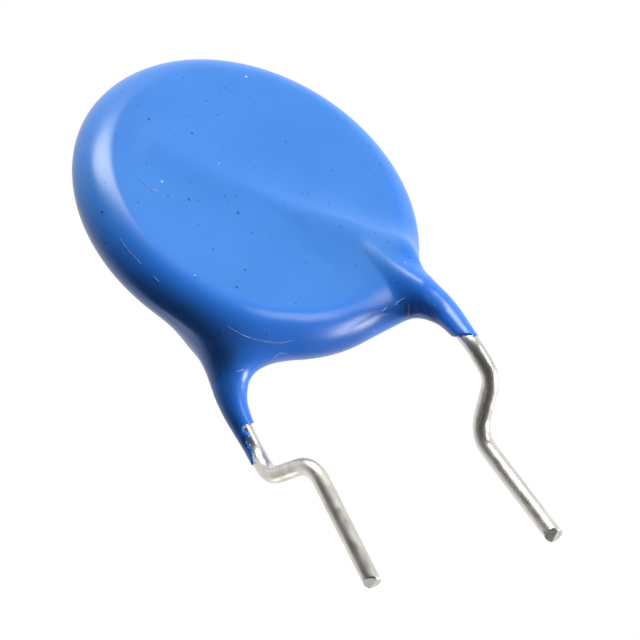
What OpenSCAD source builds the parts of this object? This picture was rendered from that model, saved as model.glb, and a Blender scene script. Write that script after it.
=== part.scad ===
// Radial ceramic disc capacitor with a dip-coated body and two kinked leads.
// Z is up, the leads point down, and the front face looks along -Y. The origin is midway between
// the leads on the board's top face. The rear half is the front half turned by 180 degrees about Z.

/* [Ceramic element] */
// Diameter of the ceramic disc
ceramic_d = 14.6; // [12:0.1:18]
// Thickness of the ceramic disc
ceramic_t = 1; // [0.8:0.1:2]
// Bevel round both edges of the ceramic disc
ceramic_bevel = 0.15; // [0.05:0.01:0.3]
// Diameter of the silver electrode on each face
electrode_d = 13.4; // [11:0.1:14]
// Thickness of the silver electrode
electrode_t = 0.05; // [0.03:0.01:0.1]
// Height of the disc's centre above the board
disc_z = 14.3; // [13:0.1:18]

/* [Leads] */
// Diameter of the tinned wire
wire_d = 0.8; // [0.6:0.05:0.9]
// Distance between the two leads at the board
pitch = 10; // [7.5:0.1:12.5]
// Length of each straight tail below the board's top face
tail_l = 6.5; // [3:0.05:20]
// Lean of each tail outward, away from the other
tail_lean_out = 1.5; // [0:0.1:5]
// Lean of each tail toward its own face of the disc
tail_lean_face = 5.4; // [0:0.1:8]
// How far each lead stands behind the middle plane at the board
tail_back = 0.51; // [0:0.01:1]
// Height of the kink's outer corner above the board
kink_z = 1.27; // [1:0.01:2]
// How far the kink's outer corner stands out from the middle plane
kink_depth = 2.1; // [1.5:0.05:3]
// How far the kink's outer corner stands outside the pitch
kink_side = 0.39; // [0:0.01:0.8]
// Bend radius of the kink at the wire's centreline
kink_r = 1.4; // [0.9:0.05:1.5]
// Angle of the slanted half of the sheared tip to the wire
tip_angle = 57; // [40:1:80]

/* [Lead on the element] */
// Slant of the wire across the face, from the vertical
cross_angle = 45; // [30:1:55]
// Distance of the crossing wire from the disc's centre
cross_offset = 0.38; // [0:0.01:2]
// Reach of the crossing wire from its middle to its inner end
cross_in = 5.2; // [4.8:0.1:6]
// Reach of the crossing wire from its middle to its bend
cross_out = 5; // [4:0.1:5.5]
// Solder film between the wire and the electrode
solder_film = 0.04; // [0.02:0.01:0.1]
// Width of the solder fillet on the electrode
solder_w = 2.2; // [1.6:0.1:3]
// Length of the solder fillet along the wire
solder_l = 8; // [6:0.1:9]
// Thickness of the solder fillet at its edges
solder_edge = 0.06; // [0.03:0.01:0.12]

/* [Coating] */
// Coating over each electrode at the middle of the face
face_film = 0.87; // [0.86:0.01:1.3]
// Coating round the edge of the ceramic disc
rim_film = 1.25; // [1:0.05:2]
// Radial reach of the rounded rim
rim_reach = 1.5; // [1.3:0.1:3]
// Fullness of the rim's section, where 2 is an ellipse
rim_fullness = 2; // [1.9:0.1:2.4]
// Fall of each face from its middle to the rim
face_dome = 0.05; // [0:0.01:0.1]
// Coating over the wire where it crosses the face
ridge_film = 0.1; // [0.05:0.01:0.3]
// Film over the wire's inner end, where below zero leaves the face to cover it
inner_film = -0.9; // [-1:0.05:0.1]
// Height of the broad swelling over the wire near its inner end
ridge_low = 0.1; // [0.08:0.01:0.3]
// Height of the broad swelling where the wire leaves the face
ridge_high = 0.4; // [0.2:0.01:0.6]
// Half width of the broad swelling
ridge_spread = 1.3; // [0.8:0.1:2]
// Softness of the ridge over the crossing wire
ridge_blend = 0.9; // [0.5:0.1:1.5]
// How far the leg's root stands outside the pitch
leg_root_side = 0.31; // [0:0.01:0.8]
// How far the leg's root stands out from the middle plane
leg_root_depth = 1.8; // [1.5:0.05:2.4]
// Coating round the wire at the leg's root
leg_root_film = 0.27; // [0.15:0.01:0.8]
// Radius of the film's turn from the rim into the leg
film_turn = 4; // [2:0.5:6]
// Coating round the wire at the leg's cut end
leg_end_film = 0.07; // [0.04:0.01:0.2]
// Size of the web between the rim and each leg
web_blend = 2.9; // [1.5:0.1:3.5]
// Height of the legs' cut ends above the board
leg_end_z = 3.3; // [2.9:0.05:4]
// Straight run of bare wire below the leg's end before it bends
bare_run = 0.5; // [0.46:0.02:0.8]
// How far the wire stands out from the middle plane at the leg's end
leg_end_depth = 2.55; // [2:0.05:3.2]

/* [Hidden] */
$fn = 64;

wire_r = wire_d / 2;
wire_y = ceramic_t / 2 + electrode_t + solder_film + wire_r;
coat_r = ceramic_d / 2 + rim_film;
coat_h = ceramic_t / 2 + electrode_t + face_film;
flat_r = coat_r - rim_reach;

// Wire centreline of the front lead, from its inner end on the element down to the board
cross_dir = [sin(cross_angle), 0, -cos(cross_angle)];
cross_mid = [-cross_offset * cos(cross_angle), -wire_y, disc_z - cross_offset * sin(cross_angle)];
inner_end = cross_mid - cross_dir * cross_in;
face_bend = cross_mid + cross_dir * cross_out;
leg_end = [pitch / 2, -leg_end_depth, leg_end_z];
leg_root = [pitch / 2 + leg_root_side, -leg_root_depth, disc_z - coat_r];
kink_out = [pitch / 2 + kink_side, -kink_depth, kink_z];
board_point = [pitch / 2, tail_back, 0];
tail_dir = unit([tan(tail_lean_out), -tan(tail_lean_face), -1]);
leg_dir = unit(leg_end - leg_root);
bare_bend = leg_end + leg_dir * bare_run;
face_bend_r = 2;
leg_bend_r = 1.5;
wire_sides = 16;
// The flats of the formed stretch stand just outside the round tail that ends in it
formed_r = wire_r * 1.003 / cos(180 / wire_sides);
bend_step = 12;

function unit(v) = v / norm(v);
function clamp01(x) = max(0, min(1, x));
function smooth01(x) = let (c = clamp01(x)) c * c * (3 - 2 * c);
function turned(p) = [-p[0], -p[1], p[2]];
function any_side(d) = unit(cross(d, abs(d[2]) < 0.9 ? [0, 0, 1] : [0, 1, 0]));

// Points along the arc that rounds one corner of a path
function corner_arc(a, b, c, r) =
    let (d = unit(b - a), e = unit(c - b), turn = acos(max(-1, min(1, d * e))),
        cut = r * tan(turn / 2), side = unit(e - d * (d * e)), start = b - d * cut,
        steps = max(1, ceil(turn / bend_step)))
    [for (i = [0:steps]) let (t = turn * i / steps) start + d * r * sin(t) + side * r * (1 - cos(t))];
function rounded_path(p, radii) = [
    p[0],
    for (i = [1:len(p) - 2]) each corner_arc(p[i - 1], p[i], p[i + 1], radii[i - 1]),
    p[len(p) - 1]];
function tangent(p, i) = unit(p[min(i + 1, len(p) - 1)] - p[max(i - 1, 0)]);
// One side direction for each point of a path, carried along it without twist
function carried_sides(p, i = 0, last = undef) =
    i == len(p) ? []
    : let (t = tangent(p, i), s = is_undef(last) ? any_side(t) : unit(last - t * (last * t)))
        concat([s], carried_sides(p, i + 1, s));

// Round bar of radius r along a path
module sweep(p, r, sides) {
    across = carried_sides(p);
    rings = [for (i = [0:len(p) - 1], k = [0:sides - 1])
        let (t = tangent(p, i), a = 360 * k / sides)
        p[i] + r * (across[i] * cos(a) + cross(t, across[i]) * sin(a))];
    last = (len(p) - 1) * sides;
    polyhedron(rings, concat(
        [[for (k = [0:sides - 1]) k]],
        [for (i = [0:len(p) - 2], k = [0:sides - 1])
            let (m = (k + 1) % sides)
            each [[i * sides + k, (i + 1) * sides + k, (i + 1) * sides + m],
                [i * sides + k, (i + 1) * sides + m, i * sides + m]]],
        [[for (k = [sides - 1:-1:0]) last + k]]));
}

// Places children with their Z axis along a direction and their Y axis toward the front
module along(origin, dir) {
    front = [0, -1, 0];
    y = unit(front - dir * (front * dir));
    x = cross(y, dir);
    multmatrix([[x[0], y[0], dir[0], origin[0]], [x[1], y[1], dir[1], origin[1]],
        [x[2], y[2], dir[2], origin[2]], [0, 0, 0, 1]]) children();
}

wire_path = rounded_path([inner_end, face_bend, leg_root, bare_bend, kink_out, board_point,
    board_point + tail_dir], [face_bend_r, leg_bend_r, leg_bend_r, kink_r, kink_r]);
tail_start = wire_path[len(wire_path) - 2];
tail_straight = tail_l - norm(tail_start - board_point);
tail_seat = 0.15;

// Tinned copper wire: a formed stretch, and a straight tail sheared square with one half slanted
module lead(slant_side) {
    color([0.78, 0.77, 0.74]) {
        formed = [for (i = [0:len(wire_path) - 2]) wire_path[i]];
        sweep(concat(formed, [tail_start + tail_dir * tail_seat]), formed_r, wire_sides);
        along(tail_start, tail_dir) difference() {
            cylinder(r = wire_r, h = tail_straight);
            translate([0, 0, tail_straight]) rotate([0, slant_side * (90 - tip_angle), 0])
                translate([slant_side > 0 ? 0 : -2 * wire_d, -wire_d, 0])
                    cube([2 * wire_d, 2 * wire_d, 2 * wire_d]);
        }
    }
}

module ceramic_disc() {
    color([0.55, 0.42, 0.30]) translate([0, 0, disc_z]) rotate([90, 0, 0]) rotate_extrude() {
        r = ceramic_d / 2;
        h = ceramic_t / 2;
        polygon([[0, -h], [r - ceramic_bevel, -h], [r, ceramic_bevel - h],
            [r, h - ceramic_bevel], [r - ceramic_bevel, h], [0, h]]);
    }
}

// Fired silver film on the front face
module electrode() {
    color([0.85, 0.85, 0.87]) translate([0, -ceramic_t / 2, disc_z]) rotate([90, 0, 0])
        cylinder(d = electrode_d, h = electrode_t);
}

// Solder fillet along both sides of the crossing wire, hollowed by surface tension, before the wire lies in it
module solder_bed() {
    hollow_r = (solder_w / 2 - wire_r) * 1.1;
    rise = solder_film + 0.85 * wire_r;
    along([cross_mid[0], -ceramic_t / 2 - electrode_t, cross_mid[2]] - cross_dir * solder_l / 2, cross_dir)
        linear_extrude(solder_l) difference() {
            translate([-solder_w / 2, 0]) square([solder_w, rise]);
            for (side = [-1, 1])
                translate([side * (wire_r + hollow_r), solder_edge + hollow_r]) circle(r = hollow_r);
            for (side = [-1, 1])
                translate([side * (wire_r + hollow_r + solder_w / 2), solder_edge + hollow_r])
                    square([solder_w, 2 * hollow_r], center = true);
        }
}

module solder() {
    color([0.66, 0.67, 0.68]) difference() {
        solder_bed();
        lead(-1);
    }
}

// Height of the broad swelling that the crossing wire raises on the front face
function ridge_height(p) =
    let (s = (p - cross_mid) * cross_dir,
        t = (p - cross_mid) * [cos(cross_angle), 0, sin(cross_angle)],
        h = ridge_low * smooth01((s + cross_in + ridge_spread) / ridge_spread)
            + (ridge_high - ridge_low) * pow(smooth01(s / cross_out), 2))
    h * (1 - 0.6 * smooth01((s - cross_out) / (coat_r - cross_out))) * exp(-pow(t / ridge_spread, 2))
        * smooth01(2 * abs(p[1]) / coat_h);

// Distance to the coated disc without its legs: domed faces with the swelling, and a full, rounded rim
function disc_distance(p) =
    let (rho = norm([p[0], p[2] - disc_z]),
        dome = face_dome * pow(rho / coat_r, 2) - ridge_height(p[1] < 0 ? p : turned(p)),
        a = max(rho - flat_r, 0) / rim_reach, b = max(abs(p[1]) + dome, 0) / coat_h,
        q = max(pow(a, rim_fullness) + pow(b, rim_fullness), 0.001),
        slope = pow(q, 1 / rim_fullness - 1)
            * norm([pow(a, rim_fullness - 1) / rim_reach, pow(b, rim_fullness - 1) / coat_h]))
    (pow(q, 1 / rim_fullness) - 1) / max(slope, 0.1);
function bar_distance(p, a, b, ra, rb) =
    let (t = clamp01((p - a) * (b - a) / ((b - a) * (b - a)))) norm(p - a - (b - a) * t) - ra - (rb - ra) * t;
// Distance to the film that one wire draws out: a ridge across the face, then a tapering leg
film_path = concat([inner_end, face_bend], corner_arc(face_bend, leg_root, leg_end, film_turn), [leg_end]);
film_radii = concat([wire_r + inner_film, wire_r + ridge_film],
    [for (i = [3:len(film_path) - 1]) wire_r + leg_root_film], [wire_r + leg_end_film]);
function film_distance(p) = min([for (i = [1:len(film_path) - 1])
    bar_distance(p, film_path[i - 1], film_path[i], film_radii[i - 1], film_radii[i])]);
function merged(a, b, k) = min(a, b) - pow(max(k - abs(a - b), 0), 2) / (4 * k);
function coat_distance(p) =
    let (out = smooth01((norm([p[0], p[2] - disc_z]) / coat_r - 0.6) / 0.3))
    merged(disc_distance(p), min(film_distance(p), film_distance(turned(p))),
        ridge_blend + (web_blend - ridge_blend) * out);
// Slides a point along a direction until it lies on the coating's surface
function settle(p, dir, steps = 9) =
    steps == 0 ? p : settle(p - dir * coat_distance(p), dir, steps - 1);

// The coating's surface is a polar grid over the disc. A patch of it is left open round each wire,
// and rings of points carry the edge of that patch down the leg to its cut end.
patch_half = 18;
patch_cols = 8;
foot_cols = 5;
crown_cols = 43;
face_rows = 11;
rim_rows = 16;
patch_top = 10;
patch_bottom = 20;
leg_axis_top = leg_root - leg_dir * 0.8;
leg_angle = atan2(leg_axis_top[2] - disc_z, leg_axis_top[0]);
function spread(a, b, n) = [for (i = [0:n - 1]) a + (b - a) * i / n];
columns = concat(
    spread(-180 - leg_angle - patch_half, -180 - leg_angle + patch_half, patch_cols),
    spread(-180 - leg_angle + patch_half, leg_angle - patch_half, foot_cols),
    spread(leg_angle - patch_half, leg_angle + patch_half, patch_cols),
    spread(leg_angle + patch_half, 180 - leg_angle - patch_half, crown_cols));
col_count = len(columns);
rear_col = 0;
front_col = patch_cols + foot_cols;
// Each row is a radius, a depth and the slope of the ray through it, from the front face to the rear
rows = concat(
    [for (i = [1:face_rows]) [flat_r * i / (face_rows + 1), -coat_h, 90]],
    [for (i = [0:rim_rows])
        let (t = 90 - 180 * i / rim_rows)
        [flat_r + rim_reach * pow(abs(cos(t)), 2 / rim_fullness),
            -coat_h * sign(t) * pow(abs(sin(t)), 2 / rim_fullness), t]],
    [for (i = [face_rows:-1:1]) [flat_r * i / (face_rows + 1), coat_h, -90]]);
row_count = len(rows);
function radial(a) = [cos(a), 0, sin(a)];
function grid_ray(r, c) = cos(rows[r][2]) * radial(columns[c]) - [0, sin(rows[r][2]), 0];
function grid_point(r, c) =
    settle([0, rows[r][1], disc_z] + rows[r][0] * radial(columns[c]), grid_ray(r, c));

// Grid places round the edge of a patch, in order
patch_loop = concat(
    [for (c = [0:patch_cols - 1]) [patch_top, c]],
    [for (r = [patch_top:patch_bottom - 1]) [r, patch_cols]],
    [for (c = [patch_cols:-1:1]) [patch_bottom, c]],
    [for (r = [patch_bottom:-1:patch_top + 1]) [r, 0]]);
loop_count = len(patch_loop);
leg_rings = 12;
turn_rings = 8;
leg_foot = 0.3;
relax_passes = 8;

// Point of the leg's surface at a share of its length, in a direction square to its axis
function leg_point(share, dir) =
    let (r = wire_r + leg_root_film + (leg_end_film - leg_root_film) * share)
    settle(leg_root + (leg_end - leg_root) * share + dir * r, dir);

// Evens out the rings of a web: each inner point moves between its four neighbours and settles again
function relaxed(net, ray, passes) =
    passes == 0 ? net
    : relaxed([for (i = [0:len(net) - 1])
        let (k = floor(i / loop_count), j = i % loop_count)
        k == 0 || k == turn_rings ? net[i]
        : settle((net[i - loop_count] + net[i + loop_count] + net[k * loop_count + (j + 1) % loop_count]
            + net[k * loop_count + (j + loop_count - 1) % loop_count]) / 4, ray[i])], ray, passes - 1);

module coating_shell() {
    grid = [for (r = [0:row_count - 1], c = [0:col_count - 1]) grid_point(r, c)];
    poles = [settle([0, -coat_h, disc_z], [0, -1, 0]), settle([0, coat_h, disc_z], [0, 1, 0])];
    edge = [for (e = patch_loop) grid[e[0] * col_count + front_col + e[1]]];
    edge_ray = [for (e = patch_loop) grid_ray(e[0], front_col + e[1])];
    // Each point of the patch's edge keeps its own side of the leg all the way down
    out = [for (p = edge) unit(p - leg_root - leg_dir * ((p - leg_root) * leg_dir))];
    foot = [for (d = out) leg_point(leg_foot, d)];
    web_ray = [for (k = [0:turn_rings], j = [0:loop_count - 1])
        let (w = k / turn_rings) unit(edge_ray[j] * (1 - w) + out[j] * w)];
    web = relaxed([for (k = [0:turn_rings], j = [0:loop_count - 1])
        let (w = k / turn_rings) edge[j] * (1 - w) + foot[j] * w], web_ray, relax_passes);
    leg = concat(
        [for (i = [loop_count:turn_rings * loop_count - 1]) web[i]],
        [for (k = [turn_rings:leg_rings], j = [0:loop_count - 1])
            leg_point(leg_foot + (1 - leg_foot) * (k - turn_rings) / (leg_rings - turn_rings), out[j])]);
    pole_at = row_count * col_count;
    front_at = pole_at + 2;
    rear_at = front_at + leg_rings * loop_count;
    function in_patch(r, c) =
        (r >= patch_top && r < patch_bottom && c >= front_col && c < front_col + patch_cols)
        || (r >= row_count - 1 - patch_bottom && r < row_count - 1 - patch_top
            && c >= rear_col && c < rear_col + patch_cols);
    function ring_at(base, k, j, places, first_col) =
        k == 0 ? places[j][0] * col_count + first_col + places[j][1]
        : base + (k - 1) * loop_count + j;
    // Turning the front patch by 180 degrees about Z gives the rear one
    rear_places = [for (e = patch_loop) [row_count - 1 - e[0], patch_cols - e[1]]];
    pts = concat(grid, poles, leg, [for (p = leg) turned(p)]);
    sides = concat(
        [for (r = [0:row_count - 2], c = [0:col_count - 1]) if (!in_patch(r, c))
            let (n = (c + 1) % col_count, a = r * col_count + c, b = r * col_count + n)
            each [[a, b + col_count, a + col_count], [a, b, b + col_count]]],
        [for (c = [0:col_count - 1]) let (n = (c + 1) % col_count) each [
            [pole_at, n, c],
            [pole_at + 1, (row_count - 1) * col_count + c, (row_count - 1) * col_count + n]]],
        [for (leg_no = [0, 1], k = [0:leg_rings - 1], j = [0:loop_count - 1])
            let (m = (j + 1) % loop_count, base = leg_no == 0 ? front_at : rear_at,
                places = leg_no == 0 ? patch_loop : rear_places,
                col = leg_no == 0 ? front_col : rear_col,
                a = ring_at(base, k, j, places, col), b = ring_at(base, k, m, places, col),
                c = ring_at(base, k + 1, j, places, col), d = ring_at(base, k + 1, m, places, col))
            each norm(pts[a] - pts[d]) < norm(pts[b] - pts[c])
                ? [[a, d, c], [a, b, d]] : [[a, b, c], [b, d, c]]],
        [for (leg_no = [0, 1])
            [for (j = [0:loop_count - 1]) (leg_no == 0 ? front_at : rear_at)
                + (leg_rings - 1) * loop_count + j]]);
    polyhedron(pts, sides);
}

// Dip-coated blue epoxy, moulded round everything it holds
module epoxy_coating() {
    color([0.26, 0.55, 0.90]) difference() {
        coating_shell();
        ceramic_disc();
        for (turn = [0, 180]) rotate([0, 0, turn]) {
            electrode();
            solder_bed();
            lead(-1);
        }
    }
}

epoxy_coating();
ceramic_disc();
electrode();  // front_electrode
rotate([0, 0, 180]) electrode();  // rear_electrode
solder();  // front_solder
rotate([0, 0, 180]) solder();  // rear_solder
lead(-1);  // front_lead
rotate([0, 0, 180]) lead(1);  // rear_lead
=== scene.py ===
"""Looks of a dip-coated ceramic disc capacitor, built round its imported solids."""
import math

import bmesh
import bpy
import numpy as np
from mathutils import Matrix, Vector


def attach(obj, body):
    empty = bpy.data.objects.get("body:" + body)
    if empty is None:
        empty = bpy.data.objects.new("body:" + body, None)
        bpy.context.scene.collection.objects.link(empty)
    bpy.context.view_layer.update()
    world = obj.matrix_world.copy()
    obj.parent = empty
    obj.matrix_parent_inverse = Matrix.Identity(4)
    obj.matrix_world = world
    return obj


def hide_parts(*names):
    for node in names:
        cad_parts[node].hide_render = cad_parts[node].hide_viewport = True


MM = 0.001
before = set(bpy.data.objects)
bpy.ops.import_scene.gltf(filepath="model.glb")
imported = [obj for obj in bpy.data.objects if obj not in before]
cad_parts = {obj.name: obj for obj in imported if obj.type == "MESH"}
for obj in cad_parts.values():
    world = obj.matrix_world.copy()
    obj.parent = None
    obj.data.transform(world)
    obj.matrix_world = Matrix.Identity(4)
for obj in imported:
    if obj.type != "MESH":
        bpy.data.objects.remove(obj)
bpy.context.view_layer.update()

# Sizes of the part, in millimetres. The body: its middle's height, its radius, half its thickness, how far
# the rim's curve reaches in, how square that curve is, and how much the face falls toward the rim
DISC_Z = 14.3
COAT_R, COAT_H, RIM_REACH, RIM_FULLNESS, FACE_DOME = 8.55, 1.5, 1.5, 1.85, 0.03
FLAT_R = COAT_R - RIM_REACH
# The wire: its radius, its middle's distance from the disc's middle plane, and the corners of its run
WIRE_R = 0.4
CERAMIC_HALF, ELECTRODE, SOLDER_BED = 0.5, 0.05, 0.04
WIRE_Y = CERAMIC_HALF + ELECTRODE + SOLDER_BED + WIRE_R
ACROSS = math.sqrt(0.5)
CROSS_OFFSET, CROSS_BACK, CROSS_AHEAD = 0.38, 5.2, 5.0
CROSS_DIR = np.array([ACROSS, 0, -ACROSS])
CROSS_MID = np.array([-CROSS_OFFSET * ACROSS, -WIRE_Y, DISC_Z - CROSS_OFFSET * ACROSS])
INNER_END = CROSS_MID - CROSS_DIR * CROSS_BACK
FACE_BEND = CROSS_MID + CROSS_DIR * CROSS_AHEAD
LEG_ROOT = np.array([5.31, -1.8, 5.75])
LEG_END = np.array([5.0, -2.55, 3.3])
KINK_OUT = np.array([5.39, -2.1, 1.27])
BOARD_POINT = np.array([5.0, 0.51, 0.0])
TAIL_LENGTH = 6.5
TIP_SLANT = 33
# The film over the wire: its thickness inside the body, on the face, at the leg's root and at its end, and
# how widely it blends with the body on the face and in the webs. FILM_TURN is its bend at the leg's root
INNER_FILM, RIDGE_FILM, ROOT_FILM, END_FILM = -0.9, 0.1, 0.27, 0.05
RIDGE_BLEND, WEB_BLEND = 0.9, 2.9
FILM_TURN = 4.0
# The ridge over the wire: its height at the far end and near the leg, its half width, and how much higher
# and wider it gets on its lower side at the leg
RIDGE_LOW, RIDGE_HIGH, RIDGE_SPREAD = 0.1, 0.4, 1.3
FAN_HIGH, FAN_SPREAD = 0.1, 1.0

# The photograph's view: right, up and toward the camera, and the camera's distance from the disc
RIGHT = np.array([0.8015, -0.3645, -0.4741])
UP = np.array([0.1691, -0.6223, 0.7643])
TOWARD = np.array([-0.5736, -0.6927, -0.4371])
DISTANCE = 350.0
PX_PER_MM = 21.61
CENTRE = np.array([0, 0, 14.28])
CENTRE_PX = np.array([246.75, 208.4])
PHOTO_PX = 640


def unit(v):
    return v / np.linalg.norm(v)


def facing(side, up, out, place):
    """Matrix of an object at a place in metres, with its axes along three directions."""
    return Matrix([[side[i], up[i], out[i], place[i]] for i in range(3)] + [[0, 0, 0, 1]])


def to_image(p):
    """Pixel of each point in the photograph's frame."""
    q = p - CENTRE
    k = DISTANCE / (DISTANCE - q @ TOWARD) * PX_PER_MM
    return np.stack([CENTRE_PX[0] + k * (q @ RIGHT), CENTRE_PX[1] - k * (q @ UP)], axis=-1)


def turned(p):
    """Half a turn round the vertical axis, which carries the front wire onto the rear one."""
    return p * np.array([-1.0, -1.0, 1.0])


# Wire centreline

TAIL_DIR = unit(np.array([math.tan(math.radians(1.5)), -math.tan(math.radians(5.4)), -1.0]))
LEG_DIR = unit(LEG_END - LEG_ROOT)
BARE_BEND = LEG_END + LEG_DIR * 0.5


def corner_arc(a, b, c, r, step=4.0):
    """Points of the arc of radius r that rounds the corner b of the line a, b, c."""
    d, e = unit(b - a), unit(c - b)
    turn = math.acos(max(-1.0, min(1.0, float(d @ e))))
    cut = r * math.tan(turn / 2)
    side = unit(e - d * (d @ e))
    steps = max(1, math.ceil(math.degrees(turn) / step))
    return [b - d * cut + d * r * math.sin(turn * i / steps) + side * r * (1 - math.cos(turn * i / steps))
            for i in range(steps + 1)]


def wire_path():
    corners = [INNER_END, FACE_BEND, LEG_ROOT, BARE_BEND, KINK_OUT, BOARD_POINT,
               BOARD_POINT + TAIL_DIR * TAIL_LENGTH]
    radii = [2.0, 1.5, 1.5, 1.4, 1.4]
    path = [corners[0]]
    for i in range(1, len(corners) - 1):
        path += corner_arc(corners[i - 1], corners[i], corners[i + 1], radii[i - 1])
    return np.array(path + [corners[-1]])


def along_path(path, start, length):
    """Points of the path over a length that begins at the place nearest to start."""
    fine = []
    for a, b in zip(path[:-1], path[1:]):
        n = max(2, int(np.linalg.norm(b - a) / 0.02))
        fine += [a + (b - a) * i / n for i in range(n)]
    fine = np.array(fine + [path[-1]])
    first = int(np.argmin(np.linalg.norm(fine - start, axis=1)))
    run = np.concatenate([[0], np.cumsum(np.linalg.norm(np.diff(fine[first:], axis=0), axis=1))])
    return fine[first:][run <= length]


# Distance field of the coating

def bar_distance(p, a, b, ra, rb):
    """Distance to a bar from a to b with round ends, whose radius goes from ra to rb."""
    ab = b - a
    t = np.clip(((p - a) @ ab) / (ab @ ab), 0, 1)
    return np.linalg.norm(p - a - t[:, None] * ab, axis=1) - ra - (rb - ra) * t


def smooth01(x):
    c = np.clip(x, 0, 1)
    return c * c * (3 - 2 * c)


def joined(a, b, k):
    """Union of two fields, with a fillet of width k."""
    return np.minimum(a, b) - np.maximum(k - np.abs(a - b), 0) ** 2 / (4 * k)


def shared(a, b, k):
    """What lies inside both fields, with its edge rounded over width k."""
    return np.maximum(a, b) + np.maximum(k - np.abs(a - b), 0) ** 2 / (4 * k)


def ridge_height(p):
    """Height of the swelling that the crossing wire raises; it widens below its crest toward the leg."""
    s = (p - CROSS_MID) @ CROSS_DIR
    t = (p - CROSS_MID) @ np.array([ACROSS, 0, ACROSS])
    h = RIDGE_LOW * smooth01((s + CROSS_BACK + RIDGE_SPREAD) / RIDGE_SPREAD) \
        + (RIDGE_HIGH - RIDGE_LOW) * smooth01(s / CROSS_AHEAD) ** 2 + FAN_HIGH * smooth01((s - 4.5) / 2.5)
    spread = RIDGE_SPREAD + np.where(t < 0, FAN_SPREAD * smooth01((s - 4.0) / 3.5), 0)
    rho = np.hypot(p[:, 0], p[:, 2] - DISC_Z)
    return h * np.exp(-(t / spread) ** 2) * (1 - smooth01((rho - 7.2) / 1.4)) \
        * smooth01(2 * np.abs(p[:, 1]) / COAT_H)


def disc_distance(p, ridge=1.0):
    """Distance to the round body; ridge is the share of the ridge that it carries."""
    rho = np.hypot(p[:, 0], p[:, 2] - DISC_Z)
    front = np.where(p[:, 1:2] < 0, p, turned(p))
    dome = FACE_DOME * (rho / COAT_R) ** 2 - ridge * ridge_height(front)
    a = np.maximum(rho - FLAT_R, 0) / RIM_REACH
    b = np.maximum(np.abs(p[:, 1]) + dome, 0) / COAT_H
    m = RIM_FULLNESS
    q = np.maximum(a ** m + b ** m, 0.001)
    slope = q ** (1 / m - 1) * np.hypot(a ** (m - 1) / RIM_REACH, b ** (m - 1) / COAT_H)
    return (q ** (1 / m) - 1) / np.maximum(slope, 0.1)


def film_curve():
    """Centre points and radii of the film: the wire's own run, with a wider turn where the leg begins."""
    path = [INNER_END] + corner_arc(INNER_END, FACE_BEND, LEG_ROOT, 2.0, 9) \
        + corner_arc(FACE_BEND, LEG_ROOT, LEG_END, FILM_TURN, 5) + [LEG_END]
    path = np.array(path + list(RUN[1:]))
    run = np.concatenate([[0], np.cumsum(np.linalg.norm(np.diff(path, axis=0), axis=1))])
    end = run[-1] - 1.5
    at = [0, 8.5, end - 4.6, end - 2.6, end - 1.2, end, end + 2]
    film = [INNER_FILM, RIDGE_FILM, RIDGE_FILM + 0.06, ROOT_FILM, 0.5 * (ROOT_FILM + END_FILM),
            END_FILM, END_FILM]
    return path, WIRE_R + np.interp(run, at, film)


def film_distance(p):
    """Distance to the film over the front wire."""
    d = np.full(len(p), 1e3)
    for a, b, ra, rb in zip(FILM[:-1], FILM[1:], FILM_R[:-1], FILM_R[1:]):
        d = np.minimum(d, bar_distance(p, a, b, ra, rb))
    return d


RUN = along_path(wire_path(), LEG_END, 1.5)[::12]
FILM, FILM_R = film_curve()
# The dip sags into one flat slope between the ridge's crest and the foot of the front leg, where the film
# stays fuller over the wire
SLOPE_DIR = unit(RIGHT * 0.25 + UP * 0.45 + TOWARD * 0.86)
SLOPE_AT = np.array([2.75, -1.94, 10.7])
SLOPE_BLEND, CREST_FILM = 0.5, 0.22
# In the photograph's pixels: how far down the front leg's film ends, and the torn end of the rear leg's
# film as how far down it lies and how far across. Both count only below CUT_Z
CUT_Z, FRONT_CUT, TEAR_STEEP = 5.2, 336.8, 0.7
TEAR_DOWN = np.array([423.6, 424.4, 427, 430, 431.5, 434, 437, 439, 440.5, 443, 445, 447, 451, 453,
                      456, 459, 462, 466, 466.6])
TEAR_ACROSS = np.array([262, 246, 243, 242.7, 246, 250.5, 250, 247, 245.5, 247, 250, 252.3, 253,
                        252, 252, 254, 254.7, 256, 235])


def coat_distance(p):
    """Distance to the whole coating: negative inside, in millimetres near its surface."""
    front = film_distance(p)
    rear = film_distance(turned(p))
    px = to_image(p)
    scale = 1 / PX_PER_MM
    near = p[:, 2] < CUT_Z
    cut = (px[:, 1] - FRONT_CUT) * scale
    front = np.where(near, np.maximum(front, cut), front)
    across = np.interp(px[:, 1], TEAR_DOWN, TEAR_ACROSS, left=400, right=200)
    tear = (px[:, 0] - across) * scale * TEAR_STEEP
    rear = np.where(near, np.maximum(rear, tear), rear)
    # The blend widens toward the rim, where it makes the webs, and narrows again down the legs
    out = smooth01((np.hypot(p[:, 0], p[:, 2] - DISC_Z) / COAT_R - 0.6) / 0.3)
    out = out * np.clip((p[:, 2] - 2.6) / 1.6, 0, 1)
    blend = RIDGE_BLEND + (WEB_BLEND - RIDGE_BLEND) * out
    coat = joined(disc_distance(p), np.minimum(front, rear), blend)
    # The slope takes away only what stands over the bare body and the wire's own film
    slope = (p - SLOPE_AT) @ SLOPE_DIR - 3.0 * smooth01((1.6 - p[:, 0]) / 3.0)
    crest = front - CREST_FILM * smooth01((p[:, 2] - 5.0) / 1.6) * smooth01((10.6 - p[:, 2]) / 4.2)
    bare = np.minimum(disc_distance(p, 0.0), crest)
    sunk = joined(bare, shared(coat, slope, SLOPE_BLEND), SLOPE_BLEND)
    return np.where(p[:, 1] < 0, np.maximum(coat, sunk), coat)


def gradient(p, h=0.004):
    g = np.empty_like(p)
    for i in range(3):
        e = np.zeros(3)
        e[i] = h
        g[:, i] = (coat_distance(p + e) - coat_distance(p - e)) / (2 * h)
    return g


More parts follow.
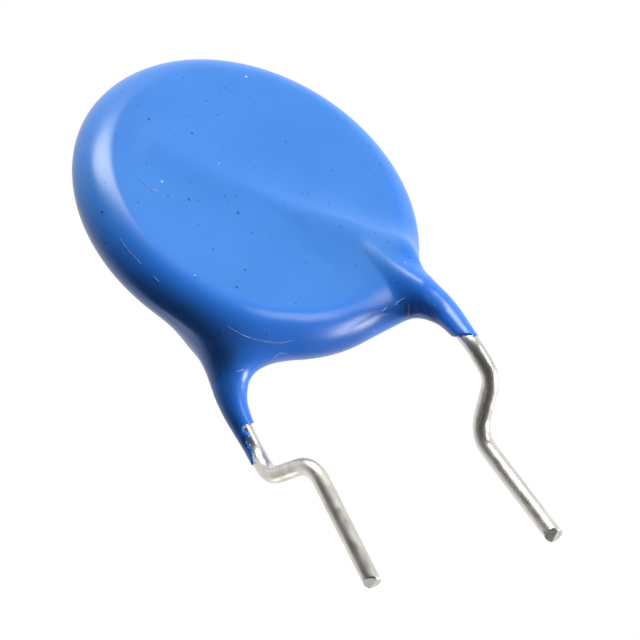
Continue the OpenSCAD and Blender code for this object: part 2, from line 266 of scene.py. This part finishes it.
def settled(p):
    """Moves points that lie near the coating's surface onto it."""
    for _ in range(2):
        g = gradient(p)
        s = coat_distance(p) / np.maximum((g * g).sum(1), 0.25)
        p = p - g * np.clip(s, -0.1, 0.1)[:, None]
    return p


def surface_net(lo, hi, h):
    """Quads over the zero surface of the coating's field, one vertex in each cell that it crosses."""
    n = np.ceil((hi - lo) / h).astype(int) + 1
    ax = [lo[i] + h * np.arange(n[i]) for i in range(3)]
    f = np.empty(n)
    for i, x in enumerate(ax[0]):
        yy, zz = np.meshgrid(ax[1], ax[2], indexing="ij")
        pts = np.stack([np.full(yy.size, x), yy.ravel(), zz.ravel()], axis=1)
        f[i] = coat_distance(pts).reshape(n[1], n[2])
    inside = f < 0
    total = np.zeros((*(n - 1), 3))
    count = np.zeros(n - 1)
    grid = np.stack(np.meshgrid(*[np.arange(v) for v in n], indexing="ij"), axis=-1).astype(float)
    crossings = []
    for d in range(3):
        lo_s = [slice(None)] * 3
        hi_s = [slice(None)] * 3
        lo_s[d], hi_s[d] = slice(0, -1), slice(1, None)
        a, b = f[tuple(lo_s)], f[tuple(hi_s)]
        hit = inside[tuple(lo_s)] != inside[tuple(hi_s)]
        t = np.where(hit, a / np.where(hit, a - b, 1), 0)
        pos = grid[tuple(lo_s)].copy()
        pos[..., d] += t
        where = np.argwhere(hit)
        at = pos[hit]
        o1, o2 = [k for k in range(3) if k != d]
        for s1 in (0, 1):
            for s2 in (0, 1):
                cell = where.copy()
                cell[:, o1] -= s1
                cell[:, o2] -= s2
                ok = ((cell >= 0) & (cell < n - 1)).all(1)
                np.add.at(total, tuple(cell[ok].T), at[ok])
                np.add.at(count, tuple(cell[ok].T), 1)
        crossings.append((d, o1, o2, where, inside[tuple(lo_s)][hit]))
    used = count > 0
    index = np.full(used.shape, -1)
    index[used] = np.arange(used.sum())
    verts = total[used] / count[used][:, None] * h + lo
    faces = []
    for d, o1, o2, where, low_in in crossings:
        quad = []
        for s1, s2 in ((1, 1), (0, 1), (0, 0), (1, 0)):
            cell = where.copy()
            cell[:, o1] -= s1
            cell[:, o2] -= s2
            quad.append(index[tuple(cell.T)])
        quad = np.stack(quad, axis=1)
        flip = low_in if d != 1 else ~low_in
        quad[~flip] = quad[~flip][:, ::-1]
        faces.append(quad)
    return verts, np.concatenate(faces)


def evened(verts, faces, rounds=3):
    """Moves each vertex toward the middle of its neighbours and back onto the surface."""
    edges = np.concatenate([faces[:, [0, 1]], faces[:, [1, 2]], faces[:, [2, 3]], faces[:, [3, 0]]])
    edges = np.concatenate([edges, edges[:, ::-1]])
    deg = np.bincount(edges[:, 0], minlength=len(verts))[:, None]
    for _ in range(rounds):
        mean = np.stack([np.bincount(edges[:, 0], verts[edges[:, 1], i], len(verts)) for i in range(3)],
                        axis=1) / deg
        verts = settled(verts + (mean - verts) * 0.5)
    return verts


def add_mesh(name, verts, faces):
    mesh = bpy.data.meshes.new(name)
    mesh.from_pydata((np.asarray(verts) * MM).tolist(), [], [list(map(int, f)) for f in faces])
    mesh.validate()
    mesh.update()
    mesh.polygons.foreach_set("use_smooth", [True] * len(mesh.polygons))
    obj = bpy.data.objects.new(name, mesh)
    bpy.context.collection.objects.link(obj)
    return obj


# Materials

def srgb(r, g, b):
    def lin(v):
        v /= 255
        return v / 12.92 if v <= 0.04045 else ((v + 0.055) / 1.055) ** 2.4
    return (lin(r), lin(g), lin(b), 1.0)


def new_material(name):
    mat = bpy.data.materials.new(name)
    mat.use_nodes = True
    nodes, links = mat.node_tree.nodes, mat.node_tree.links
    return mat, nodes, links, nodes["Principled BSDF"]


def noise(nodes, links, coords, scale, detail):
    node = nodes.new("ShaderNodeTexNoise")
    node.inputs["Scale"].default_value = scale
    node.inputs["Detail"].default_value = detail
    links.new(coords, node.inputs["Vector"])
    return node.outputs["Fac"]


def ramp(nodes, links, value, stops):
    node = nodes.new("ShaderNodeValToRGB")
    while len(node.color_ramp.elements) < len(stops):
        node.color_ramp.elements.new(0.5)
    for element, (at, colour) in zip(node.color_ramp.elements, stops):
        element.position = at
        element.color = colour
    links.new(value, node.inputs["Fac"])
    return node.outputs["Color"]


def grey(v):
    return (v, v, v, 1.0)


def feed(links, socket, value):
    if isinstance(value, bpy.types.NodeSocket):
        links.new(value, socket)
    else:
        socket.default_value = value


def mixed(nodes, links, factor, a, b, mode="MIX"):
    """Blend of two colours by a factor."""
    node = nodes.new("ShaderNodeMix")
    node.data_type = "RGBA"
    node.blend_type = mode
    for socket, value in ((node.inputs[0], factor), (node.inputs[6], a), (node.inputs[7], b)):
        feed(links, socket, value)
    return node.outputs[2]


def map_range(nodes, links, value, start, end, low=0.0, high=1.0):
    """Goes smoothly from low to high as the value goes from start to end."""
    node = nodes.new("ShaderNodeMapRange")
    node.interpolation_type = "SMOOTHSTEP"
    for socket, number in (("From Min", start), ("From Max", end), ("To Min", low), ("To Max", high)):
        node.inputs[socket].default_value = number
    links.new(value, node.inputs["Value"])
    return node.outputs["Result"]


def combined(nodes, links, operation, *values):
    """Output of one math node."""
    node = nodes.new("ShaderNodeMath")
    node.operation = operation
    for socket, value in zip(node.inputs, values):
        feed(links, socket, value)
    return node.outputs[0]


def chosen(nodes, links, factor, a, b):
    """The number b where the factor is 1, and the number a where it is 0."""
    node = nodes.new("ShaderNodeMix")
    node.data_type = "FLOAT"
    for socket, value in ((node.inputs[0], factor), (node.inputs[2], a), (node.inputs[3], b)):
        feed(links, socket, value)
    return node.outputs[0]


def along(nodes, links, value, direction):
    """How far a vector goes along a direction."""
    node = nodes.new("ShaderNodeVectorMath")
    node.operation = "DOT_PRODUCT"
    node.inputs[1].default_value = direction
    links.new(value, node.inputs[0])
    return node.outputs["Value"]


def add_bump(nodes, links, height, strength, shader):
    bump = nodes.new("ShaderNodeBump")
    bump.inputs["Strength"].default_value = strength
    bump.inputs["Distance"].default_value = 0.03 * MM
    links.new(height, bump.inputs["Height"])
    links.new(bump.outputs["Normal"], shader.inputs["Normal"])


def epoxy_material():
    mat, nodes, links, shader = new_material("blue_epoxy")
    coords = nodes.new("ShaderNodeTexCoord").outputs["Object"]
    # Slow mottling of the dipped layer
    slow = noise(nodes, links, coords, 260, 3)
    base = ramp(nodes, links, slow, [(0.3, srgb(48, 122, 209)), (0.7, srgb(57, 130, 217))])
    # Painted shade: where the body lies in shade, at the lower rim and down the legs, its blue is painted
    # deeper and more saturated
    out = nodes.new("ShaderNodeMapping")
    out.inputs["Location"].default_value = (0, 0, -DISC_Z * MM)
    out.inputs["Scale"].default_value = (1, 0, 1)
    links.new(coords, out.inputs["Vector"])
    rho = nodes.new("ShaderNodeVectorMath")
    rho.operation = "LENGTH"
    links.new(out.outputs["Vector"], rho.inputs[0])
    painted_shade_rim = map_range(nodes, links, rho.outputs["Value"], 6.4 * MM, 8.2 * MM)
    split = nodes.new("ShaderNodeSeparateXYZ")
    links.new(coords, split.inputs[0])
    low = map_range(nodes, links, split.outputs["Z"], 16.5 * MM, 11.5 * MM)
    base = mixed(nodes, links, combined(nodes, links, "MULTIPLY", painted_shade_rim, low), base, srgb(41, 121, 230))
    # Fine pits as dark dots, their darkness painted shade, a few wider ones, and a few pale specks of dust
    for cell, inner, outer, patch, tone in ((1700, 0.05, 0.12, 0.42, srgb(22, 76, 168)),
                                            (700, 0.035, 0.065, 0.46, srgb(22, 66, 144)),
                                            (480, 0.022, 0.04, 0.5, srgb(190, 208, 235))):
        cells = nodes.new("ShaderNodeTexVoronoi")
        cells.inputs["Scale"].default_value = cell
        links.new(coords, cells.inputs["Vector"])
        dots = ramp(nodes, links, cells.outputs["Distance"], [(inner, grey(1)), (outer, grey(0))])
        sparse = ramp(nodes, links, noise(nodes, links, coords, 0.55 * cell, 1),
                      [(patch, grey(0)), (patch + 0.05, grey(1))])
        base = mixed(nodes, links, mixed(nodes, links, 1.0, dots, sparse, "MULTIPLY"), base, tone)
    links.new(base, shader.inputs["Base Color"])
    shader.inputs["Roughness"].default_value = 0.32
    shader.inputs["Specular IOR Level"].default_value = 0.5
    shader.inputs["Coat Weight"].default_value = 0.1
    shader.inputs["Coat Roughness"].default_value = 0.22
    add_bump(nodes, links, noise(nodes, links, coords, 2600, 3), 0.12, shader)
    return mat


def tin_material():
    mat, nodes, links, shader = new_material("tinned_wire")
    coords = nodes.new("ShaderNodeTexCoord").outputs["Object"]
    mapping = nodes.new("ShaderNodeMapping")
    mapping.inputs["Scale"].default_value = (1, 1, 0.25)
    links.new(coords, mapping.inputs["Vector"])
    streak = noise(nodes, links, mapping.outputs["Vector"], 3200, 3)
    links.new(ramp(nodes, links, streak, [(0.3, srgb(204, 201, 193)), (0.7, srgb(226, 223, 215))]),
              shader.inputs["Base Color"])
    shader.inputs["Metallic"].default_value = 1.0
    wear = noise(nodes, links, coords, 1500, 2)
    links.new(ramp(nodes, links, wear, [(0.3, grey(0.28)), (0.7, grey(0.44))]), shader.inputs["Roughness"])
    add_bump(nodes, links, noise(nodes, links, mapping.outputs["Vector"], 1700, 3), 0.25, shader)
    return mat


def plain_material(name, light, dark, scale, rough, metal=0.0, detail=3):
    """Slightly mottled material between two tones."""
    mat, nodes, links, shader = new_material(name)
    coords = nodes.new("ShaderNodeTexCoord").outputs["Object"]
    mottle = noise(nodes, links, coords, scale, detail)
    links.new(ramp(nodes, links, mottle, [(0.35, srgb(*dark)), (0.65, srgb(*light))]),
              shader.inputs["Base Color"])
    shader.inputs["Roughness"].default_value = rough
    shader.inputs["Metallic"].default_value = metal
    return mat


# The coating

verts, faces = surface_net(np.array([-8.9, -3.4, 1.9]), np.array([8.9, 3.4, 23.1]), 0.13)
verts = evened(verts, faces)
coating = add_mesh("coating", verts, faces)
coating.data.materials.append(epoxy_material())
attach(coating, "root")
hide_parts("epoxy_coating")


# Hairline scuffs and specks on the coating, and the chips at its torn end, pale broken edges with a painted
# highlight on the curled film

def seen_on(px, distance):
    """The surface point seen at each pixel of the photograph's frame."""
    eye = CENTRE + TOWARD * DISTANCE
    q = (px - CENTRE_PX) / PX_PER_MM
    far = CENTRE + q[:, :1] * RIGHT - q[:, 1:] * UP
    ray = (far - eye) / np.linalg.norm(far - eye, axis=1)[:, None]
    p = far - ray * 16
    for _ in range(70):
        p = p + ray * 0.8 * distance(p)[:, None]
    return p


def rear_film(p):
    return film_distance(turned(p))


def scuffs(name, lines, distance, light, dark, rough):
    """Thin raised ribbons: each line gives its width in pixels and the points that it runs through."""
    verts, faces = [], []
    for width, points in lines:
        points = np.array(points, float)
        run = np.concatenate([[0], np.cumsum(np.linalg.norm(np.diff(points, axis=0), axis=1))])
        at = np.linspace(0, run[-1], max(4, int(run[-1] / 1.5)))
        mid = np.stack([np.interp(at, run, points[:, i]) for i in range(2)], axis=1)
        mid = mid + 0.35 * np.sin(at * 1.3 + points[0, 0])[:, None] * (len(at) > 6)
        side = np.gradient(mid, axis=0)[:, ::-1] * [1, -1]
        side = side / np.linalg.norm(side, axis=1)[:, None]
        # The width wavers along the line and runs out at its ends
        half = 0.5 * width * (0.75 + 0.25 * np.sin(at * 2.1)) \
            * np.sqrt(np.sin(np.linspace(0.15, 3.0, len(at))))
        low = seen_on(mid - side * half[:, None], distance)
        high = seen_on(mid + side * half[:, None], distance)
        first = len(verts)
        for a, b in zip(low, high):
            verts += [a + TOWARD * 0.015, (a + b) / 2 + TOWARD * 0.03, b + TOWARD * 0.015]
        for i in range(len(at) - 1):
            j = first + 3 * i
            faces += [(j, j + 1, j + 4, j + 3), (j + 1, j + 2, j + 5, j + 4)]
    obj = add_mesh(name, verts, faces)
    obj.data.materials.append(plain_material(name, light, dark, 3000, rough, detail=2))
    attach(obj, "root")


HAIRLINES = [
    (0.8, [(139, 179), (150, 188), (161, 193)]),
    (0.7, [(119, 237), (128, 250), (141, 264)]),
    (0.8, [(153, 276), (159, 282)]),
    (0.9, [(227, 326), (240, 334), (253, 339)]),
    (1.1, [(253, 339), (268, 342), (281, 343), (294, 340)]),
    (1.0, [(268, 363), (276, 356), (280, 353), (288, 354)]),
    (1.3, [(236, 372), (244, 369)]),
    (0.9, [(394, 306), (399, 301), (404, 298)]),
    (0.9, [(380, 312), (384, 310), (387, 307)]),
    (1.6, [(195, 274.4), (195.2, 276)]),
    (1.5, [(219, 162.4), (219.2, 164)]),
    (1.5, [(374, 330.4), (374.2, 332)]),
    (1.4, [(435, 304.5), (435.2, 306)]),
]
PALE_MARK = [(2.6, [(408, 304), (408.5, 311), (408, 319)])]
# The chips: pale broken edges of the torn film, painted near white as a painted highlight where the film
# curls
CHIPS_AND_HIGHLIGHTS = [
    (1.8, [(243, 430.5), (244.5, 427.5), (247, 425.8), (250, 425)]),
    (1.4, [(252, 451.5), (253.4, 454), (254, 457)]),
    (1.3, [(246, 441.5), (246.8, 443)]),
    (1.2, [(249.5, 444), (250, 446)]),
    (1.1, [(247.4, 447), (248.2, 448.6)]),
]
scuffs("hairlines", HAIRLINES, coat_distance, (196, 214, 240), (120, 160, 222), 0.4)
scuffs("pale_mark", PALE_MARK, coat_distance, (164, 184, 200), (120, 150, 190), 0.5)
scuffs("torn_chips_and_highlights", CHIPS_AND_HIGHLIGHTS, rear_film, (238, 242, 248), (176, 196, 224), 0.4)

# The leads

tin = tin_material()
SIDES = 40


def wire_mesh(name, turn, slant):
    """Round wire along its path, sheared off with a slant at the tip."""
    path = wire_path()
    pts = [path[0]]
    for a, b in zip(path[:-1], path[1:]):
        n = max(1, int(np.linalg.norm(b - a) / 0.25))
        pts += [a + (b - a) * (i + 1) / n for i in range(n)]
    pts = np.array(pts)
    tangent = np.gradient(pts, axis=0)
    tangent /= np.linalg.norm(tangent, axis=1)[:, None]
    side = unit(np.cross(tangent[0], [0, 0, 1.0]))
    rings = []
    for p, t in zip(pts, tangent):
        side = unit(side - t * (side @ t))
        up = np.cross(t, side)
        a = 2 * np.pi * np.arange(SIDES) / SIDES
        rings.append(p + WIRE_R * (np.cos(a)[:, None] * side + np.sin(a)[:, None] * up))
    verts = np.concatenate(rings)
    n = len(pts)
    faces = [[i * SIDES + j, (i + 1) * SIDES + j, (i + 1) * SIDES + (j + 1) % SIDES,
              i * SIDES + (j + 1) % SIDES] for i in range(n - 1) for j in range(SIDES)]
    faces.append(list(range(SIDES)))
    faces.append([(n - 1) * SIDES + j for j in range(SIDES)][::-1])
    obj = add_mesh(name, verts, faces)
    tip = BOARD_POINT + TAIL_DIR * TAIL_LENGTH
    bm = bmesh.new()
    bm.from_mesh(obj.data)
    bmesh.ops.recalc_face_normals(bm, faces=bm.faces)
    cross = unit(np.array([1.0, 0, 0]) - TAIL_DIR * TAIL_DIR[0])
    # The shear's plane runs through the tip's middle and leans toward one side
    lean = math.radians(TIP_SLANT)
    normal = TAIL_DIR * math.cos(lean) + cross * slant * math.sin(lean)
    bmesh.ops.bisect_plane(bm, geom=bm.verts[:] + bm.edges[:] + bm.faces[:], dist=1e-7,
                           plane_co=Vector(tip * MM), plane_no=Vector(normal), clear_outer=True)
    bmesh.ops.holes_fill(bm, edges=[e for e in bm.edges if e.is_boundary], sides=0)
    bmesh.ops.recalc_face_normals(bm, faces=bm.faces)
    if turn:
        for v in bm.verts:
            v.co = Vector((-v.co.x, -v.co.y, v.co.z))
    bm.to_mesh(obj.data)
    bm.free()
    for poly in obj.data.polygons:
        poly.use_smooth = len(poly.vertices) == 4
    obj.data.materials.append(tin)
    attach(obj, "root")
    return obj


front_wire = wire_mesh("front_wire", False, -1)
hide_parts("front_lead")
rear_wire = wire_mesh("rear_wire", True, 1)
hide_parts("rear_lead")

# The pieces inside

INNER = {
    "ceramic_disc": plain_material("fired_ceramic", (150, 118, 86), (128, 98, 70), 900, 0.7),
    "front_electrode": plain_material("fired_silver", (222, 221, 216), (200, 199, 194), 2500, 0.45, 1.0),
    "rear_electrode": plain_material("fired_silver_rear", (222, 221, 216), (200, 199, 194), 2500, 0.45, 1.0),
    "front_solder": plain_material("solder", (196, 196, 194), (168, 168, 168), 1800, 0.3, 1.0),
    "rear_solder": plain_material("solder_rear", (196, 196, 194), (168, 168, 168), 1800, 0.3, 1.0),
}
for node, material in INNER.items():
    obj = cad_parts[node]
    obj.data.materials.clear()
    obj.data.materials.append(material)

# Camera

camera = bpy.data.cameras.new("camera")
focal = PX_PER_MM * DISTANCE
camera.sensor_width = 36
camera.lens = focal * camera.sensor_width / PHOTO_PX
camera.clip_start, camera.clip_end = 0.05, 10
cam = bpy.data.objects.new("camera", camera)
bpy.context.collection.objects.link(cam)
aside, down = (PHOTO_PX / 2 - CENTRE_PX) / focal
ahead = unit(RIGHT * aside - UP * down - TOWARD)
cam_right = unit(RIGHT - ahead * (RIGHT @ ahead))
cam_up = np.cross(cam_right, ahead)
cam.matrix_world = facing(cam_right, cam_up, -ahead, (CENTRE + TOWARD * DISTANCE) * MM)
bpy.context.scene.camera = cam

# Floor, world and lights

floor_mat, nodes, links, shader = new_material("floor")
# Pale to the camera, too dark to throw light up under the part, and bright on its far side in reflections
ray = nodes.new("ShaderNodeLightPath")
links.new(mixed(nodes, links, ray.outputs["Is Camera Ray"], grey(0.10), grey(0.93)),
          shader.inputs["Base Color"])
position = nodes.new("ShaderNodeNewGeometry").outputs["Position"]
beyond = along(nodes, links, position, (-TOWARD[0], -TOWARD[1], 0))
bright = map_range(nodes, links, beyond, 0.05, 0.35, 0.0, 0.9)
glow = combined(nodes, links, "MULTIPLY", bright, ray.outputs["Is Glossy Ray"])
lit = combined(nodes, links, "MULTIPLY_ADD", ray.outputs["Is Camera Ray"], 0.45, glow)
shader.inputs["Emission Color"].default_value = (1, 1, 1, 1)
links.new(lit, shader.inputs["Emission Strength"])
shader.inputs["Roughness"].default_value = 0.8
shader.inputs["Specular IOR Level"].default_value = 0.0
bpy.ops.mesh.primitive_plane_add(size=8, location=(0, 0, -0.25))
floor = bpy.context.active_object
floor.name = "floor"
floor.data.materials.append(floor_mat)

world = bpy.data.worlds.new("studio")
bpy.context.scene.world = world
world.use_nodes = True
nodes, links = world.node_tree.nodes, world.node_tree.links
back = nodes["Background"]
# White behind the part, falling to the dark side of the studio where the photographer stands
direction = nodes.new("ShaderNodeTexCoord").outputs["Generated"]
behind = along(nodes, links, direction, tuple(-TOWARD))
shade = map_range(nodes, links, behind, -0.35, 0.35, 0.01, 0.6)
gloss = map_range(nodes, links, behind, -0.45, 0.35, 0.13, 1.0)
ray = nodes.new("ShaderNodeLightPath")
by_gloss = chosen(nodes, links, ray.outputs["Is Glossy Ray"], shade, gloss)
strength = chosen(nodes, links, ray.outputs["Is Camera Ray"], by_gloss, 1.0)
back.inputs["Color"].default_value = (1, 1, 1, 1)
links.new(strength, back.inputs["Strength"])


def softbox(name, direction, long_way, distance, size, watts):
    """Soft light facing the disc; directions are given as right, up and toward the camera."""
    light = bpy.data.lights.new(name, "AREA")
    light.shape = "ELLIPSE"
    light.size, light.size_y = size
    light.energy = watts
    obj = bpy.data.objects.new(name, light)
    bpy.context.collection.objects.link(obj)
    back = unit(RIGHT * direction[0] + UP * direction[1] + TOWARD * direction[2])
    side = RIGHT * long_way[0] + UP * long_way[1] + TOWARD * long_way[2]
    side = unit(side - back * (side @ back))
    obj.matrix_world = facing(side, np.cross(back, side), back, CENTRE * MM + back * distance)


softbox("top_softbox", (-0.15, 0.95, 0.17), (1.0, 0.2, 0.1), 0.5, (0.46, 0.2), 2.85)
softbox("side_softbox", (0.97, -0.19, 0.05), (-0.1, 1.0, 0.1), 0.3, (0.156, 0.12), 0.85)
softbox("low_fill", (0.75, -0.65, 0.0), (0.6, 0.7, 0.0), 0.22, (0.132, 0.132), 0.01)
softbox("corner_softbox", (0.76, 0.5, 0.4), (-0.5, 1.0, 0.1), 0.5, (0.22, 0.16), 0.6)
softbox("low_reflector", (-0.33, -0.91, -0.23), (1.0, 0.2, 0.1), 0.5, (0.4, 0.2), 0.3)

bpy.context.scene.view_settings.view_transform = "Standard"
